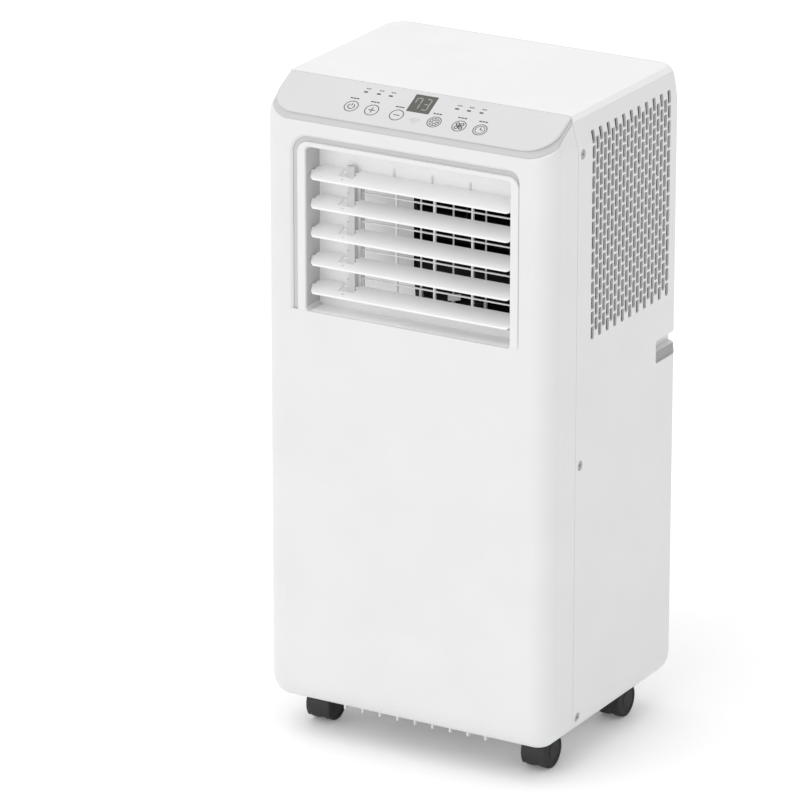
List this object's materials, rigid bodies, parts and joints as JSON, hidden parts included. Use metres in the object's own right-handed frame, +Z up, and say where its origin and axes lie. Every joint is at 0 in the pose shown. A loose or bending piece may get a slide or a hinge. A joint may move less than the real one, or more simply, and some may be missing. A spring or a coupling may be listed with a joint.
{
  "type": "portable air conditioner",
  "caption": "Upright portable air conditioner with tilting louvre blades, sloped touch panel, slotted sides, rear exhaust port and swivel casters.",
  "frame": {"origin": "on the floor, under the middle of the whole object's box", "axes": "+Z up, the air outlet faces -Y, +X to the viewer's right when facing the outlet"},
  "size_m": [0.32, 0.271, 0.675],
  "materials": {
    "white": "fine satin moulded ABS",
    "panel_grey": "satin light grey moulded ABS",
    "smoked_lens": "gloss smoked lens",
    "circuit_board": "solder mask",
    "filter_mesh": "woven filter mesh in a moulded frame",
    "fins": "fine aluminium fins",
    "copper": "drawn copper tube",
    "steel": "zinc plated",
    "foam": "expanded foam tray",
    "painted_black": "black painted steel",
    "base_plastic": "moulded polypropylene",
    "black_plastic": "satin black nylon",
    "black_rubber": "satin black rubber"
  },
  "bodies": {
    "housing": {"front_panel": "white", "rear_housing": "white", "lid": "white", "control_panel": "panel_grey", "display_lens": "smoked_lens", "control_board": "circuit_board", "louvre_frame": "white", "louvre_motor": "panel_grey", "outlet_guard": "white", "fan_scroll": "panel_grey", "fan_motor": "steel", "evaporator_coil": "fins", "side_filter_left": "filter_mesh", "side_filter_right": "filter_mesh", "partition_tray": "foam", "condenser_coil": "fins", "blower_scroll": "panel_grey", "blower_motor": "steel", "exhaust_duct": "panel_grey", "exhaust_collar": "white", "compressor": "painted_black", "accumulator": "painted_black", "suction_pipe": "copper", "discharge_pipe": "copper", "electrical_box": "panel_grey", "run_capacitor": "steel", "base_pan": "base_plastic", "rear_grille": "white", "remote_pocket": "white", "cord_inlet": "black_plastic", "case_screw_right_1": "steel", "case_screw_right_2": "steel", "case_screw_right_3": "steel", "case_screw_left_1": "steel", "case_screw_left_2": "steel", "case_screw_left_3": "steel"},
    "louvre_blade_1": {"louvre_blade_1": "white"},
    "louvre_blade_2": {"louvre_blade_2": "white"},
    "louvre_blade_3": {"louvre_blade_3": "white"},
    "louvre_blade_4": {"louvre_blade_4": "white"},
    "louvre_blade_5": {"louvre_blade_5": "white"},
    "louvre_tie_bar": {"louvre_tie_bar": "panel_grey"},
    "air_vane_1": {"air_vane_1": "white"},
    "air_vane_2": {"air_vane_2": "white"},
    "air_vane_3": {"air_vane_3": "white"},
    "vane_link": {"vane_link": "white"},
    "fan_wheel": {"fan_wheel": "black_plastic"},
    "blower_wheel": {"blower_wheel": "black_plastic"},
    "filter_door": {"filter_door": "white", "rear_filter": "filter_mesh"},
    "drain_plug_lower": {"drain_plug_lower": "black_rubber"},
    "drain_plug_upper": {"drain_plug_upper": "black_rubber"},
    "caster_front_left": {"caster_fork_front_left": "black_plastic"},
    "caster_wheels_front_left": {"caster_wheels_front_left": "black_rubber"},
    "caster_front_right": {"caster_fork_front_right": "black_plastic"},
    "caster_wheels_front_right": {"caster_wheels_front_right": "black_rubber"},
    "caster_rear_left": {"caster_fork_rear_left": "black_plastic"},
    "caster_wheels_rear_left": {"caster_wheels_rear_left": "black_rubber"},
    "caster_rear_right": {"caster_fork_rear_right": "black_plastic"},
    "caster_wheels_rear_right": {"caster_wheels_rear_right": "black_rubber"}
  },
  "joints": [
    {"name": "louvre_blade_1_tilt", "type": "hinge", "parent": "housing", "child": "louvre_blade_1", "pos_m": [0.002, -0.1225, 0.587], "axis": [1, 0, 0], "range_deg": [-40, 45]},
    {"name": "louvre_blade_2_tilt", "type": "hinge", "parent": "housing", "child": "louvre_blade_2", "pos_m": [0.002, -0.1225, 0.558], "axis": [1, 0, 0], "range_deg": [-40, 45]},
    {"name": "louvre_blade_3_tilt", "type": "hinge", "parent": "housing", "child": "louvre_blade_3", "pos_m": [0.002, -0.1225, 0.529], "axis": [1, 0, 0], "range_deg": [-40, 45]},
    {"name": "louvre_blade_4_tilt", "type": "hinge", "parent": "housing", "child": "louvre_blade_4", "pos_m": [0.002, -0.1225, 0.5], "axis": [1, 0, 0], "range_deg": [-40, 45]},
    {"name": "louvre_blade_5_tilt", "type": "hinge", "parent": "housing", "child": "louvre_blade_5", "pos_m": [0.002, -0.1225, 0.471], "axis": [1, 0, 0], "range_deg": [-40, 45]},
    {"name": "louvre_tie_bar_pin", "type": "hinge", "parent": "louvre_blade_3", "child": "louvre_tie_bar", "pos_m": [-0.072, -0.11404, 0.53208], "axis": [1, 0, 0], "range_deg": [-45, 40]},
    {"name": "air_vane_1_turn", "type": "hinge", "parent": "housing", "child": "air_vane_1", "pos_m": [-0.018, -0.0725, 0.524], "axis": [0, 0, 1], "range_deg": [-70, 10]},
    {"name": "air_vane_2_turn", "type": "hinge", "parent": "housing", "child": "air_vane_2", "pos_m": [0.018, -0.0725, 0.524], "axis": [0, 0, 1], "range_deg": [-70, 10]},
    {"name": "air_vane_3_turn", "type": "hinge", "parent": "housing", "child": "air_vane_3", "pos_m": [0.054, -0.0725, 0.524], "axis": [0, 0, 1], "range_deg": [-70, 10]},
    {"name": "vane_link_pin", "type": "hinge", "parent": "air_vane_2", "child": "vane_link", "pos_m": [0.0135, -0.06471, 0.4625], "axis": [0, 0, 1], "range_deg": [-10, 70]},
    {"name": "fan_wheel_spin", "type": "hinge", "parent": "housing", "child": "fan_wheel", "pos_m": [0, 0.0315, 0.525], "axis": [1, 0, 0], "continuous": true},
    {"name": "blower_wheel_spin", "type": "hinge", "parent": "housing", "child": "blower_wheel", "pos_m": [-0.03, 0.049, 0.165], "axis": [0, 1, 0], "continuous": true},
    {"name": "filter_door_pull", "type": "slide", "parent": "housing", "child": "filter_door", "axis": [0, 1, 0], "range_m": [0, 0.12]},
    {"name": "drain_plug_lower_pull", "type": "slide", "parent": "housing", "child": "drain_plug_lower", "axis": [0, 1, 0], "range_m": [0, 0.03]},
    {"name": "drain_plug_upper_pull", "type": "slide", "parent": "housing", "child": "drain_plug_upper", "axis": [0, 1, 0], "range_m": [0, 0.03]},
    {"name": "caster_front_left_swivel", "type": "hinge", "parent": "housing", "child": "caster_front_left", "pos_m": [-0.123, -0.09, 0.04], "axis": [0, 0, 1], "continuous": true},
    {"name": "caster_wheels_front_left_roll", "type": "hinge", "parent": "caster_front_left", "child": "caster_wheels_front_left", "pos_m": [-0.123, -0.078, 0.018], "axis": [1, 0, 0], "continuous": true},
    {"name": "caster_front_right_swivel", "type": "hinge", "parent": "housing", "child": "caster_front_right", "pos_m": [0.123, -0.09, 0.04], "axis": [0, 0, 1], "continuous": true},
    {"name": "caster_wheels_front_right_roll", "type": "hinge", "parent": "caster_front_right", "child": "caster_wheels_front_right", "pos_m": [0.123, -0.078, 0.018], "axis": [1, 0, 0], "continuous": true},
    {"name": "caster_rear_left_swivel", "type": "hinge", "parent": "housing", "child": "caster_rear_left", "pos_m": [-0.123, 0.063, 0.04], "axis": [0, 0, 1], "continuous": true},
    {"name": "caster_wheels_rear_left_roll", "type": "hinge", "parent": "caster_rear_left", "child": "caster_wheels_rear_left", "pos_m": [-0.123, 0.075, 0.018], "axis": [1, 0, 0], "continuous": true},
    {"name": "caster_rear_right_swivel", "type": "hinge", "parent": "housing", "child": "caster_rear_right", "pos_m": [0.123, 0.063, 0.04], "axis": [0, 0, 1], "continuous": true},
    {"name": "caster_wheels_rear_right_roll", "type": "hinge", "parent": "caster_rear_right", "child": "caster_wheels_rear_right", "pos_m": [0.123, 0.075, 0.018], "axis": [1, 0, 0], "continuous": true}
  ],
  "couplings": [
    {"joint": "louvre_blade_1_tilt", "follows": "louvre_blade_3_tilt", "ratio": 1},
    {"joint": "louvre_blade_2_tilt", "follows": "louvre_blade_3_tilt", "ratio": 1},
    {"joint": "louvre_blade_4_tilt", "follows": "louvre_blade_3_tilt", "ratio": 1},
    {"joint": "louvre_blade_5_tilt", "follows": "louvre_blade_3_tilt", "ratio": 1},
    {"joint": "louvre_tie_bar_pin", "follows": "louvre_blade_3_tilt", "ratio": -1},
    {"joint": "air_vane_1_turn", "follows": "air_vane_2_turn", "ratio": 1},
    {"joint": "air_vane_3_turn", "follows": "air_vane_2_turn", "ratio": 1},
    {"joint": "vane_link_pin", "follows": "air_vane_2_turn", "ratio": -1}
  ]
}
